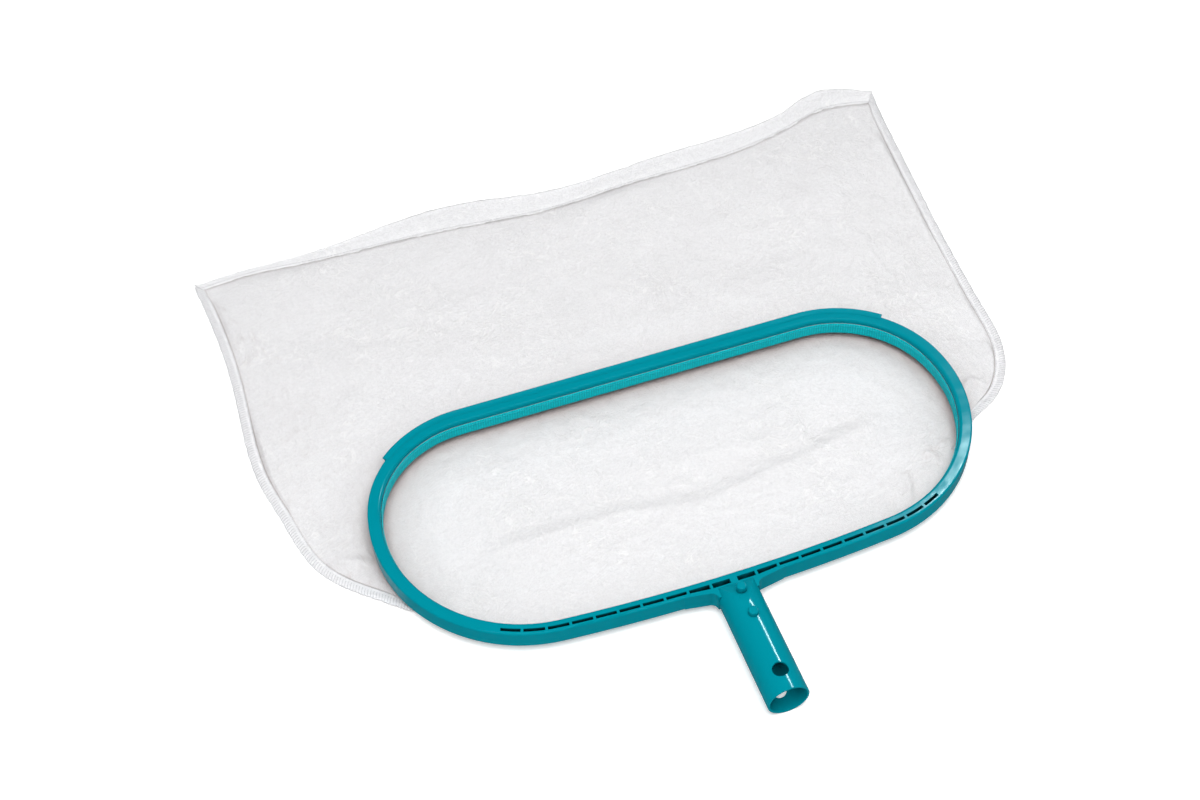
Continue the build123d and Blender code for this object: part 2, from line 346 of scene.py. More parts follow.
def across_line(start_y, spots):
    """Points given in millimetres from the middle and back from a line across the hoop."""
    return [(x * MM, start_y + back * MM) for x, back in spots]


RIM = rim_line()

LEFT_OUT = end_line(-1, [
    (-28, -174), (-14, -162), (2, -149), (19, -133), (41, -112), (57, -90), (74, -28),
    (82, 10), (82, 111), (82, 173), (86, 226), (89, 257),
])
RIGHT_OUT = end_line(1, [
    (-20, -160), (0, -144), (14, -132), (30, -124), (46, -114), (63, -94), (76, -62),
    (80, -23), (83, 29), (88, 90), (96, 166), (103, 232), (109, 280),
])
FAR_OUT = [LEFT_OUT[-1], *across_line(FAR_Y, [
    (-296, 261), (-240, 261), (-146, 272), (-80, 275), (0, 262), (119, 269),
    (225, 276), (262, 285), (307, 301), (338, 292),
]), RIGHT_OUT[-1]]
HEM_LINE = across_line(FAR_Y, [
    (-328, 252), (-277, 255), (-240, 252), (-161, 249), (-81, 245), (0, 238),
    (72, 243), (192, 249), (258, 263), (300, 275), (347, 268),
])
# Where the lower ply first touches the floor, in from the near rim.
TOUCH_LINE = across_line(NEAR_Y, [
    (-330, 150), (-290, 122), (-231, 98), (-150, 99), (-74, 98), (-35, 95),
    (0, 87), (66, 95), (131, 105), (197, 115), (240, 111), (330, 140),
])
# Folds that stand out of the cloth: their line in from the near rim, height and half width in mm.
FLOOR_FOLDS = [
    ([(-40, 142), (16, 135), (80, 128), (118, 119)], 0.9, 7.0),
    ([(205, 66), (209, 57)], 1.6, 3.0),
    ([(178, 51), (171, 27)], 1.9, 3.0),
    ([(-190, 56), (-176, 82)], 0.8, 4.0),
]
TOP_FOLDS = [
    ([(-290, 133), (-268, 125), (-250, 116)], 1.6, 4.0),
    ([(307, 160), (309, 138), (304, 120)], 1.8, 4.0),
    ([(262, 118), (277, 127), (287, 114), (305, 126)], 1.6, 4.0),
    ([(-292, 150), (-270, 118)], 1.0, 6.0),
    ([(250, 330), (268, 400), (262, 470)], 0.8, 9.0),
]


def nearest_on_rim(x, y):
    """Index of the rim's point nearest to a place."""
    return int(np.argmin(np.hypot(RIM[:, 0] - x, RIM[:, 1] - y)))


def rim_part(start, end, count):
    """Part of the rim from one index on to another, clockwise."""
    if end < start:
        end += len(RIM)
    return resample(RIM[np.arange(start, end + 1) % len(RIM)], count)


LEFT_EDGE = smooth_line(LEFT_OUT, SEAM_STEPS)
RIGHT_EDGE = smooth_line(RIGHT_OUT, SEAM_STEPS)
# Where the side seams reach the rim, and where its far side starts and ends.
LEFT_START = nearest_on_rim(-0.219, 0.163)
RIGHT_START = nearest_on_rim(0.229, 0.177)
LEFT_CORNER = nearest_on_rim(-0.212, 0.318)
RIGHT_CORNER = nearest_on_rim(0.212, 0.318)
NEAR_RIM = rim_part(RIGHT_START, LEFT_START, 240)[::-1]


def seam_line(edge, start, corner, width):
    """Inner line of a side seam, from the rim to the hem line's end."""
    inward = side_of(edge) * (-width if edge[0, 0] < 0 else width)
    line = edge + inward
    t = np.linspace(0, 1, len(edge))
    near = (1 - fade(t / 0.12))[:, None]
    far = fade((t - 0.93) / 0.07)[:, None]
    line = line + near * (np.array(RIM[start]) - line[0])
    return line + far * (np.array(corner) - line[-1])


# Distance of the side seams' inner line from the edge, and the line that joins both plies.
SEWN_IN = 0.009
SEWN_EDGE = np.vstack([
    seam_line(LEFT_EDGE, LEFT_START, HEM_LINE[0], SEWN_IN)[20::10],
    smooth_line(HEM_LINE, 24),
    seam_line(RIGHT_EDGE, RIGHT_START, HEM_LINE[-1], SEWN_IN)[:20:-10],
])


# ---- cloth heights ----

# How far the fold inside the mouth slopes away: to the handle's side, and to the far side.
FOLD_NEAR, FOLD_FAR = 0.08, 0.016
# Distance from the rim and from the seams within which the fold dies away.
FOLD_END = 0.04
# The same for the loose waves of the lower ply.
LOOSE_FROM_RIM, LOOSE_FROM_SEAM = 0.02, 0.016
# The upper ply lies flat within this distance of the rim, and is fully loose this much further on.
TOP_TIGHT, TOP_LOOSE = 0.011, 0.03


def folds(x, y, lines):
    """Height of the folds that are drawn one by one."""
    height = 0
    for points, high, half_width in lines:
        line = [(px * MM, NEAR_Y + py * MM) for px, py in points]
        away = distance_to(x, y, line) / (half_width * MM)
        height = height + high * MM * np.exp(-away * away)
    return height


def floor_height(x, y, net):
    """Height of the lower ply: flat on the floor, then up to the near rim."""
    touch = smooth_line(TOUCH_LINE, 160)
    near_side = y < np.interp(x, touch[:, 0], touch[:, 1])
    to_touch = distance_to(x, y, touch[::4])
    to_rim = distance_to(x, y, NEAR_RIM[::6])
    to_seam = distance_to(x, y, SEWN_EDGE)
    share = np.where(near_side, to_touch / (to_touch + to_rim + 1e-9), 0)
    climb = (RIM_LOW.z - FLOOR_Z - net.cloth_t) * share**1.3
    ridge = (1 - np.clip(to_touch / np.where(near_side, FOLD_NEAR, FOLD_FAR), 0, 1)) ** 1.5
    ridge = ridge * fade(to_rim / FOLD_END) * fade(to_seam / FOLD_END - 1.6)
    free = fade(to_rim / LOOSE_FROM_RIM) * fade(to_seam / LOOSE_FROM_SEAM)
    wave = 0.5 + 0.5 * waves(x, y, 0.085, 11)
    small = creases(x, y, 0.021, 21) + 0.6 * creases(x, y, 0.009, 24)
    loose = net.swell * 0.45 * wave**2 + net.crumple * small
    climb = climb + net.fold_rise * ridge
    return FLOOR_Z + net.cloth_t + climb + free * (loose + folds(x, y, FLOOR_FOLDS))


def top_height(x, y, out, share, net):
    """Height of the upper ply, by distance from the rim and share of the way to the seam."""
    bend = RIM_LOW.z + 0.2 * MM - 1.6 * MM * (1 - np.exp(-out / (2 * MM)))
    settle = FLOOR_Z + 2 * net.cloth_t + 0.4 * MM
    rest = settle + (bend - settle) * (1 - share) ** 1.6
    free = fade((out - TOP_TIGHT) / TOP_LOOSE) * fade((1 - share) / 0.06)
    wave = waves(x, y, 0.11, 31) + 0.5 * waves(x, y, 0.047, 34)
    small = creases(x, y, 0.024, 41) + 0.6 * creases(x, y, 0.01, 44)
    lift = net.swell * (0.35 + wave) + net.crumple * small + folds(x, y, TOP_FOLDS)
    return rest + free * lift


# ---- meshes ----

# Points nearer to each other than this become one.
DOUBLES = 1e-6


def grid_faces(rows, columns):
    """Quads between rows of points, each row one after another in the list."""
    corners = [r * columns + c for r in range(rows - 1) for c in range(columns - 1)]
    return [(a, a + 1, a + columns + 1, a + columns) for a in corners]


def closed_loop_faces(count, width):
    """Quads of a closed profile swept round a closed loop."""
    faces = []
    for i in range(count):
        for k in range(width):
            a, b = i * width + k, i * width + (k + 1) % width
            c, d = ((i + 1) % count) * width + k, ((i + 1) % count) * width + (k + 1) % width
            faces.append((a, b, d, c))
    return faces


def new_object(name, data):
    """An object at the origin, in the scene."""
    made = bpy.data.objects.new(name, data)
    bpy.context.scene.collection.objects.link(made)
    return made


def new_piece(name, points, faces, uv=None):
    """A mesh object at the origin, with a UV map in metres of cloth if one is given."""
    mesh = bpy.data.meshes.new(name)
    mesh.from_pydata([tuple(p) for p in points], [], faces)
    if uv is not None:
        layer = mesh.uv_layers.new(name="Cloth")
        loops = np.array([loop.vertex_index for loop in mesh.loops])
        layer.data.foreach_set("uv", np.asarray(uv, np.float32)[loops].ravel())
    mesh.shade_smooth()
    return new_object(name, mesh)


def tidy_mesh(piece):
    """Merges doubles and turns all faces outwards."""
    work = bmesh.new()
    work.from_mesh(piece.data)
    bmesh.ops.remove_doubles(work, verts=work.verts, dist=DOUBLES)
    bmesh.ops.dissolve_degenerate(work, edges=work.edges, dist=DOUBLES)
    bmesh.ops.recalc_face_normals(work, faces=work.faces)
    work.to_mesh(piece.data)
    work.free()


def face_up(piece):
    """Turns an open sheet so that its faces look up."""
    if sum(p.normal.z for p in piece.data.polygons) < 0:
        piece.data.flip_normals()


def thicken(piece, thickness):
    """Gives a sheet its thickness, downwards, as a closed shell."""
    shell = piece.modifiers.new("Cloth thickness", "SOLIDIFY")
    shell.thickness = thickness
    shell.offset = -1
    shell.use_rim = True


def plain_copy(piece):
    """Replaces a piece's modifiers by the mesh that they make."""
    seen = piece.evaluated_get(bpy.context.evaluated_depsgraph_get())
    mesh = bpy.data.meshes.new_from_object(seen)
    piece.modifiers.clear()
    old = piece.data
    piece.data = mesh
    mesh.name = piece.name
    bpy.data.meshes.remove(old)
    return piece


# ---- shader helpers ----

# Numbers of a mix node's share, first and second colour, and of its mixed colour.
MIX_INPUTS, MIX_OUTPUT = (0, 6, 7), 2


def add_node(tree, kind, values, settings):
    """A node with its settings, and its inputs set or linked by name or number."""
    node = tree.nodes.new(kind)
    for key, value in settings.items():
        setattr(node, key, value)
    for key, value in (values or {}).items():
        if isinstance(value, bpy.types.NodeSocket):
            tree.links.new(value, node.inputs[key])
        else:
            node.inputs[key].default_value = value
    return node


class Shader:
    """A material whose nodes are added one after another."""

    def __init__(self, name):
        self.material = bpy.data.materials.new(name)
        self.material.use_nodes = True
        self.tree = self.material.node_tree
        self.tree.nodes.clear()
        self.output = self.tree.nodes.new("ShaderNodeOutputMaterial")

    def add(self, kind, values=None, **settings):
        return add_node(self.tree, "ShaderNode" + kind, values, settings)

    def math(self, operation, *values):
        return self.add("Math", dict(enumerate(values)), operation=operation).outputs[0]

    def from_middle(self, place, pitch):
        """Distance from the middle of each pitch, as a share of it."""
        turns = self.math("FRACT", self.math("DIVIDE", place, pitch))
        return self.math("ABSOLUTE", self.math("SUBTRACT", turns, 0.5))

    def noise(self, vector, scale, detail=2.0, distortion=0.0):
        values = {"Vector": vector, "Scale": scale, "Detail": detail, "Distortion": distortion}
        return self.add("TexNoise", values).outputs["Fac"]

    def spread(self, value, low, high, start=0.0, end=1.0):
        """Maps start to end onto low to high, and stops at both."""
        values = {"Value": value, "From Min": start, "From Max": end, "To Min": low, "To Max": high}
        return self.add("MapRange", values).outputs["Result"]

    def blend(self, share, first, second):
        values = dict(zip(MIX_INPUTS, (share, first, second)))
        return self.add("Mix", values, data_type="RGBA").outputs[MIX_OUTPUT]

    def bump(self, height, distance, strength=1.0, under=None):
        values = {"Height": height, "Distance": distance, "Strength": strength}
        if under is not None:
            values["Normal"] = under
        return self.add("Bump", values).outputs["Normal"]

    def finish(self, shader):
        self.tree.links.new(shader, self.output.inputs["Surface"])
        return self.material


def tinted(colour, factor):
    """A colour made lighter or darker, with alpha."""
    return (*[min(1.0, c * factor) for c in colour], 1.0)


def moulded_plastic(name, plastic):
    """Teal moulded plastic: soft sink marks, a fine skin, a few scuffs and painted shade in its slots
    and nooks.
    """
    s = Shader(name)
    place = s.add("TexCoord").outputs["Object"]
    cloud = s.noise(place, 14, 3, 0.4)
    grain = s.noise(place, 900, 2)
    streaks = s.add("Mapping", {"Vector": place, "Scale": (40, 700, 700)}).outputs[0]
    scuffs = s.spread(s.noise(streaks, 1, 4, 0.6), 0, 1, 0.62, 0.78)
    colour = s.blend(cloud, tinted(plastic.colour, 0.94), tinted(plastic.colour, 1.05))
    # Painted shade: the colour darkens to near black in slots, pockets and nooks, by ambient
    # occlusion.
    painted_nook_shade = s.add("AmbientOcclusion", {"Distance": 7 * MM}, samples=6).outputs["AO"]
    colour = s.blend(s.spread(painted_nook_shade, 0, 1, 0.2, 0.66), tinted(plastic.colour, 0.05), colour)
    rough = s.spread(cloud, plastic.roughness - 0.03, plastic.roughness + 0.04, 0.3, 0.7)
    rough = s.math("ADD", rough, s.math("MULTIPLY", scuffs, 0.12))
    skin = s.bump(s.noise(place, 55, 1), plastic.waviness * 10, 0.5)
    skin = s.bump(grain, 0.02 * MM, 0.35, skin)
    surface = s.add("BsdfPrincipled", {
        "Base Color": colour, "Roughness": rough, "Normal": skin, "IOR": 1.49,
        "Specular Tint": (*plastic.shine_tint, 1.0), "Specular IOR Level": 0.028,
    })
    return s.finish(surface.outputs[0])


# Painted shade on the net next to the hoop, warm enough to make up for the teal light that the hoop
# throws on it.
PAINTED_NOOK_SHADE_COLOUR = (0.62, 0.57, 0.565, 1.0)
# Light threads of the lining over the plastic.
LINING_LIGHT = (0.005, 0.68, 0.74, 1.0)


def mesh_cloth(name, net, solidness, paint_nook_shade):
    """Fine mesh: two sets of threads with open cells between them, painted highlights on its fine
    creases, and painted shade in nooks when that is asked for.
    """
    s = Shader(name)
    place = s.add("UVMap", uv_map="Cloth").outputs["UV"]
    wander = s.add("TexNoise", {"Vector": place, "Scale": 22, "Detail": 1}, noise_dimensions="2D")
    middle = (0.5, 0.5, 0.5)
    wander = s.add("VectorMath", {0: wander.outputs["Color"], 1: middle}, operation="SUBTRACT")
    wander = s.add("VectorMath", {0: wander.outputs[0], "Scale": 7 * MM}, operation="SCALE")
    bent = s.add("VectorMath", {0: place, 1: wander.outputs[0]}, operation="ADD").outputs[0]
    split = s.add("SeparateXYZ", {0: bent})
    half, blur = net.thread / 2, 0.06
    cover = s.math("MAXIMUM", *[
        s.spread(s.from_middle(split.outputs[axis], net.pitch), 1, 0, half - blur, half + blur)
        for axis in ("X", "Y")
    ])
    shown = s.spread(cover, solidness, 1)
    cloud = s.noise(place, 9, 3, 0.3)
    colour = s.blend(cloud, tinted(net.colour, 0.97), tinted(net.colour, 1.04))
    fleck = s.noise(place, 420, 3, 0.8)
    colour = s.blend(s.spread(fleck, 0, 1, 0.35, 0.65), tinted(net.colour, 0.92), colour)
    small = s.noise(place, 150, 4, 1.4)
    # Painted highlight: thin wandering lines are made lighter, as where small creases catch the
    # light; they also raise the bump.
    vein_and_highlight = s.math("ABSOLUTE", s.math("SUBTRACT", s.noise(place, 46, 4, 1.8), 0.5))
    vein_and_highlight = s.spread(vein_and_highlight, 1, 0, 0, 0.035)
    patch = s.spread(s.noise(place, 13, 2, 0.5), 0.1, 1, 0.42, 0.62)
    vein_and_highlight = s.math("MULTIPLY", vein_and_highlight, patch)
    colour = s.blend(vein_and_highlight, colour, tinted(net.colour, 1.08))
    # Painted shade: the net darkens next to the hoop and in other nooks, by ambient occlusion.
    if paint_nook_shade:
        painted_nook_shade = s.add("AmbientOcclusion", {"Distance": 45 * MM}, samples=8).outputs["AO"]
        colour = s.blend(s.spread(painted_nook_shade, 0, 1, 0.5, 1.0), PAINTED_NOOK_SHADE_COLOUR, colour)
    small = s.math("ADD", small, s.math("MULTIPLY", vein_and_highlight, 0.35))
    normal = s.bump(small, 1.5 * MM, 0.6)
    normal = s.bump(cover, 0.12 * MM, 0.6, normal)
    threads = s.add("BsdfPrincipled", {
        "Base Color": colour, "Roughness": 0.62, "Normal": normal, "Sheen Weight": 0.15,
        "Specular IOR Level": 0.3,
    })
    through = s.add("BsdfTranslucent", {"Color": colour, "Normal": normal})
    cloth = s.add("MixShader", {0: 0.14, 1: threads.outputs[0], 2: through.outputs[0]})
    gaps = s.add("BsdfTransparent")
    whole = s.add("MixShader", {0: shown, 1: gaps.outputs[0], 2: cloth.outputs[0]})
    return s.finish(whole.outputs[0])


def lining_mesh(name, net):
    """Sheer mesh drawn tight over plastic, so that the plastic's colour comes through."""
    s = Shader(name)
    place = s.add("UVMap", uv_map="Cloth").outputs["UV"]
    split = s.add("SeparateXYZ", {0: place})
    ribs = s.from_middle(split.outputs["X"], 2.4 * net.pitch)
    rows = s.from_middle(split.outputs["Y"], 1.6 * net.pitch)
    weave = s.math("MAXIMUM", s.spread(ribs, 1, 0, 0.1, 0.3), s.spread(rows, 0.7, 0, 0.08, 0.28))
    cloud = s.noise(place, 60, 3, 0.6)
    fleck = s.noise(place, 500, 3, 0.6)
    share = s.math("MULTIPLY", weave, s.spread(fleck, 0.3, 1, 0.35, 0.65))
    base = s.blend(cloud, tinted(net.lining, 0.82), tinted(net.lining, 1.0))
    colour = s.blend(share, base, LINING_LIGHT)
    surface = s.add("BsdfPrincipled", {
        "Base Color": colour, "Roughness": 0.55, "Normal": s.bump(share, 0.15 * MM, 0.6),
        "Specular IOR Level": 0.06,
    })
    return s.finish(surface.outputs[0])


def sewing_thread(name, stitching):
    """Spun white thread."""
    s = Shader(name)
    place = s.add("TexCoord").outputs["Object"]
    fibres = s.noise(place, 2600, 3, 0.5)
    colour = s.blend(fibres, tinted(stitching.colour, 0.9), tinted(stitching.colour, 1.1))
    surface = s.add("BsdfPrincipled", {
        "Base Color": colour, "Roughness": 0.7, "Normal": s.bump(fibres, 0.05 * MM, 0.6),
        "Sheen Weight": 0.2, "Specular IOR Level": 0.3,
    })
    return s.finish(surface.outputs[0])


def lining_thread(name, net):
    """Sheer thread that takes the plastic's colour behind it."""
    s = Shader(name)
    place = s.add("TexCoord").outputs["Object"]
    fibres = s.noise(place, 2600, 3, 0.5)
    colour = s.blend(fibres, tinted(net.lining, 1.1), tinted(net.lining, 1.5))
    surface = s.add("BsdfPrincipled", {
        "Base Color": colour, "Roughness": 0.6, "Normal": s.bump(fibres, 0.05 * MM, 0.6),
    })
    return s.finish(surface.outputs[0])


def pale_floor(name, stage):
    """Pale floor, which reflections see darker than it is."""
    s = Shader(name)
    place = s.add("TexCoord").outputs["Object"]
    cloud = s.noise(place, 3, 2)
    colour = s.blend(cloud, tinted(stage.floor_colour, 0.995), tinted(stage.floor_colour, 1.0))
    ray = s.add("LightPath").outputs
    colour = s.blend(ray["Is Glossy Ray"], colour, tinted(stage.floor_colour, 0.2))
    glow = s.math("MULTIPLY", ray["Is Camera Ray"], stage.floor_glow)
    surface = s.add("BsdfPrincipled", {
        "Base Color": colour, "Roughness": 0.9, "Specular IOR Level": 0.1,
        "Emission Color": (1, 1, 1, 1), "Emission Strength": glow,
    })
    return s.finish(surface.outputs[0])


def give(piece, material):
    """Makes a material the only one of a piece."""
    piece.data.materials.clear()
    piece.data.materials.append(material)


def material_once(name, maker, *args):
    """The material of this name, made at its first use."""
    return bpy.data.materials.get(name) or maker(name, *args)


def net_material(net):
    return material_once("Net mesh", mesh_cloth, net, 0.0, True)


def seam_material(net):
    return material_once("Seam mesh", mesh_cloth, net, 0.55, False)


def thread_material(stitching):
    return material_once("Sewing thread", sewing_thread, stitching)


# ---- geometry node helpers ----


class NodeTree:
    """A geometry node tree with named inputs."""

    def __init__(self, name, **inputs):
        self.tree = bpy.data.node_groups.new(name, "GeometryNodeTree")
        self.tree.is_modifier = True
        face = self.tree.interface
        face.new_socket("Geometry", in_out="OUTPUT", socket_type="NodeSocketGeometry")
        face.new_socket("Geometry", in_out="INPUT", socket_type="NodeSocketGeometry")
        for key, kind in inputs.items():
            face.new_socket(key, in_out="INPUT", socket_type="NodeSocket" + kind)
        self.given = self.tree.nodes.new("NodeGroupInput").outputs

    def add(self, kind, values=None, **settings):
        return add_node(self.tree, kind, values, settings)

    def times(self, name, factor):
        """One of the tree's inputs times a number."""
        values = {0: self.given[name], 1: factor}
        return self.add("ShaderNodeMath", values, operation="MULTIPLY").outputs[0]

    def lay_along(self, shape, pivot):
        """Lays a shape once in every pitch along the given line, and finishes the tree."""
        path = self.add("GeometryNodeMeshToCurve", {"Mesh": self.given["Geometry"]})
        spots = self.add("GeometryNodeResampleCurve", {"Curve": path.outputs[0]}, mode="LENGTH")
        self.tree.links.new(self.given["Pitch"], spots.inputs["Length"])
        ahead = self.add("GeometryNodeInputTangent")
        turned = self.add("FunctionNodeAlignRotationToVector", {"Vector": ahead.outputs[0]},
                          axis="X", pivot_axis=pivot)
        laid = self.add("GeometryNodeInstanceOnPoints", {
            "Points": spots.outputs[0], "Instance": shape.outputs[0], "Rotation": turned.outputs[0],
        })
        real = self.add("GeometryNodeRealizeInstances", {"Geometry": laid.outputs[0]})
        made = self.add("GeometryNodeSetMaterial", {
            "Geometry": real.outputs[0], "Material": self.given["Material"],
        })
        end = self.tree.nodes.new("NodeGroupOutput")
        self.tree.links.new(made.outputs[0], end.inputs[0])
        return self.tree


def run_nodes(name, line, tree, **values):
    """A plain mesh that a tree makes along a line of points."""
    edges = [(i, i + 1) for i in range(len(line) - 1)]
    mesh = bpy.data.meshes.new(name)
    mesh.from_pydata([tuple(p) for p in line], edges, [])
    piece = new_object(name, mesh)
    modifier = piece.modifiers.new(tree.name, "NODES")
    modifier.node_group = tree
    for item in tree.interface.items_tree:
        if item.item_type == "SOCKET" and item.in_out == "INPUT" and item.name in values:
            modifier[item.identifier] = values[item.name]
    return plain_copy(piece)


def tree_once(name, maker):
    """The geometry node tree of this name, made at its first use."""
    return bpy.data.node_groups.get(name) or maker(name)


def stitch_tree(name):
    """Short threads laid one after another along a line."""
    t = NodeTree(name, Pitch="Float", Length="Float", Thread="Float", Material="Material")
    start = t.add("ShaderNodeCombineXYZ", {"X": t.times("Length", -0.5)})
    middle = t.add("ShaderNodeCombineXYZ", {"Z": t.times("Thread", 1.1)})
    end = t.add("ShaderNodeCombineXYZ", {"X": t.times("Length", 0.5)})
    hump = t.add("GeometryNodeCurveQuadraticBezier", {
        "Resolution": 4, "Start": start.outputs[0], "Middle": middle.outputs[0],
        "End": end.outputs[0],
    })
    radius = t.times("Thread", 0.5)
    ring = t.add("GeometryNodeCurvePrimitiveCircle", {"Resolution": 6, "Radius": radius})
    stitch = t.add("GeometryNodeCurveToMesh", {
        "Curve": hump.outputs[0], "Profile Curve": ring.outputs[0], "Fill Caps": True,
    })
    return t.lay_along(stitch, "AUTO")


def overlock_tree(name):
    """Loops of thread that wrap the edge of a seam."""
    t = NodeTree(name, Pitch="Float", Width="Float", Height="Float", Thread="Float",
                 Slant="Float", Material="Material")
    loop = t.add("GeometryNodeCurvePrimitiveCircle", {"Resolution": 14, "Radius": 0.5})
    upright = (pi / 2, 0, pi / 2)
    stood = t.add("GeometryNodeTransform", {"Geometry": loop.outputs[0], "Rotation": upright})
    size = t.add("ShaderNodeCombineXYZ", {"X": 1.0, "Y": t.given["Width"], "Z": t.given["Height"]})
    sized = t.add("GeometryNodeTransform", {"Geometry": stood.outputs[0], "Scale": size.outputs[0]})
    slant = t.add("ShaderNodeCombineXYZ", {"Z": t.given["Slant"]}).outputs[0]
    slanted = t.add("GeometryNodeTransform", {"Geometry": sized.outputs[0], "Rotation": slant})
    radius = t.times("Thread", 0.5)
    ring = t.add("GeometryNodeCurvePrimitiveCircle", {"Resolution": 5, "Radius": radius})
    thread = t.add("GeometryNodeCurveToMesh", {
        "Curve": slanted.outputs[0], "Profile Curve": ring.outputs[0],
    })
    return t.lay_along(thread, "Z")


# ---- pieces ----

# Turn of the overlock loops away from square to the seam, in radians.
LOOP_SLANT = 0.35


def ribbon(name, inner, outer, rows, height, net):
    """A flat strip between two lines, its height given by place and share of the way across."""
    share = np.linspace(0, 1, rows)[:, None]
    x = inner[None, :, 0] * (1 - share) + outer[None, :, 0] * share
    y = inner[None, :, 1] * (1 - share) + outer[None, :, 1] * share
    z = height(x, y, np.broadcast_to(share, x.shape))
    across = np.hypot(x - x[0], y - y[0])
    along = np.broadcast_to(length_along(outer)[None, :], x.shape)
    uv = np.stack([along, across], axis=2).reshape(-1, 2)
    points = np.stack([x, y, z], axis=2).reshape(-1, 3)
    piece = new_piece(name, points, grid_faces(rows, len(inner)), uv)
    face_up(piece)
    thicken(piece, net.seam_t)
    return piece


def on_cloth(line, net, lift):
    """A line of points laid on the lower ply, lifted a little."""
    z = np.maximum(floor_height(line[:, 0], line[:, 1], net), FLOOR_Z) + lift
    return np.column_stack([line, z])


def sew(name, line, stitching):
    """Straight stitches along a line of points."""
    piece = run_nodes(
        name, line, tree_once("Straight stitches", stitch_tree),
        Pitch=stitching.stitch_pitch, Length=stitching.stitch_len,
        Thread=stitching.thread_d, Material=thread_material(stitching),
    )
    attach(piece, "root")
    return piece


def overlock(name, line, width, height, stitching):
    """Loops of thread round an edge."""
    piece = run_nodes(
        name, line, tree_once("Overlock loops", overlock_tree),
        Pitch=stitching.loop_pitch, Width=width, Height=height,
        Thread=stitching.thread_d, Slant=LOOP_SLANT, Material=thread_material(stitching),
    )
    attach(piece, "root")
    return piece


class SKIMMER_OT_frame(bpy.types.Operator):
    """Gives the moulded parts their plastic"""

    bl_idname = "skimmer.frame"
    bl_label = "Finish Moulded Parts"

    def execute(self, context):
        plastic = material_once("Teal plastic", moulded_plastic, context.scene.skimmer_plastic)
        for node in ("hoop_frame", "pole_socket", "scoop_lip", "pole_stop_plug", "stop_pins"):
            give(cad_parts[node], plastic)
        return {"FINISHED"}


class SKIMMER_OT_rim_hem(bpy.types.Operator):
    """Lines the inside of the hoop with the net's hem and its bead"""

    bl_idname = "skimmer.rim_hem"
    bl_label = "Line Hoop With Hem"

    def execute(self, context):
        net = context.scene.skimmer_net
        stitching = context.scene.skimmer_stitching
        ahead = np.roll(RIM, -1, axis=0) - np.roll(RIM, 1, axis=0)
        ahead /= np.linalg.norm(ahead, axis=1)[:, None]
        inward = np.stack([ahead[:, 1], -ahead[:, 0]], axis=1)
        low, high = RIM_LOW.z, RIM_HIGH.z
        # Inward from the rim's line in mm, and height: up the hoop's wall, over the bead and down.
        profile = [
            (0.05, low), (0.05, high - 0.5 * MM), (0.2, high - 0.1 * MM), (0.45, high),
            (0.7, high - 0.2 * MM), (0.8, high - 0.7 * MM), (0.75, high - 2.4 * MM),
            (0.55, high - 5 * MM), (0.6, (low + high) / 2 - 1 * MM), (0.55, low + 1 * MM), (0.5, low),
        ]
        points, uv = [], []
        around = length_along(np.vstack([RIM, RIM[:1]]))
        steps = [(0, 0)] + [(b[0] - a[0], b[1] - a[1]) for a, b in zip(profile[:-1], profile[1:])]
        down = np.cumsum([np.hypot(a * MM, b) for a, b in steps])
        wobble = waves(around[:-1], 0 * around[:-1], 9 * MM, 61) * 0.12
        for i in range(len(RIM)):
            for (d, z), v in zip(profile, down):
                spot = RIM[i] + inward[i] * (d + (wobble[i] if d > 0.1 else 0)) * MM
                points.append((*spot, z))
                uv.append((around[i], v))
        piece = new_piece("rim_hem_cloth", points, closed_loop_faces(len(RIM), len(profile)), uv)
        tidy_mesh(piece)
        give(piece, material_once("Lining mesh", lining_mesh, net))
        sewn = RIM + inward * 0.8 * MM
        thread_line = np.column_stack([
            np.vstack([sewn, sewn[:1]]), np.full(len(RIM) + 1, high - 2.6 * MM),
        ])
        stitches = sew("rim_hem_stitches", thread_line, stitching)
        give(stitches, material_once("Lining thread", lining_thread, net))
        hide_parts("rim_hem")
        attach(piece, "root")
        give(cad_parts["rim_bead"], thread_material(stitching))
        return {"FINISHED"}


class SKIMMER_OT_floor_panel(bpy.types.Operator):
    """Lays the lower ply of the bag"""

    bl_idname = "skimmer.floor_panel"
    bl_label = "Lay Lower Panel"

    def execute(self, context):
        net = context.scene.skimmer_net
        columns, rows = 250, 150
        near = resample(NEAR_RIM, columns)
        hem = smooth_line(HEM_LINE, columns)
        left = resample(seam_line(LEFT_EDGE, LEFT_START, hem[0], net.seam_w), rows)
        right = resample(seam_line(RIGHT_EDGE, RIGHT_START, hem[-1], net.seam_w), rows)
        u = np.linspace(0, 1, columns)[None, :, None]
        v = np.linspace(0, 1, rows)[:, None, None]
        flat = (
            (1 - v) * near[None] + v * hem[None] + (1 - u) * left[:, None] + u * right[:, None]
            - (1 - u) * (1 - v) * near[0] - u * (1 - v) * near[-1]
            - (1 - u) * v * hem[0] - u * v * hem[-1]
        ).reshape(-1, 2)
        points = np.column_stack([flat, floor_height(flat[:, 0], flat[:, 1], net)])
        piece = new_piece("net_lower_cloth", points, grid_faces(rows, columns), flat)
        face_up(piece)
        thicken(piece, net.cloth_t)
        give(piece, net_material(net))
        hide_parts("net_lower_panel", "net_front_wall")
        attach(piece, "root")
        return {"FINISHED"}


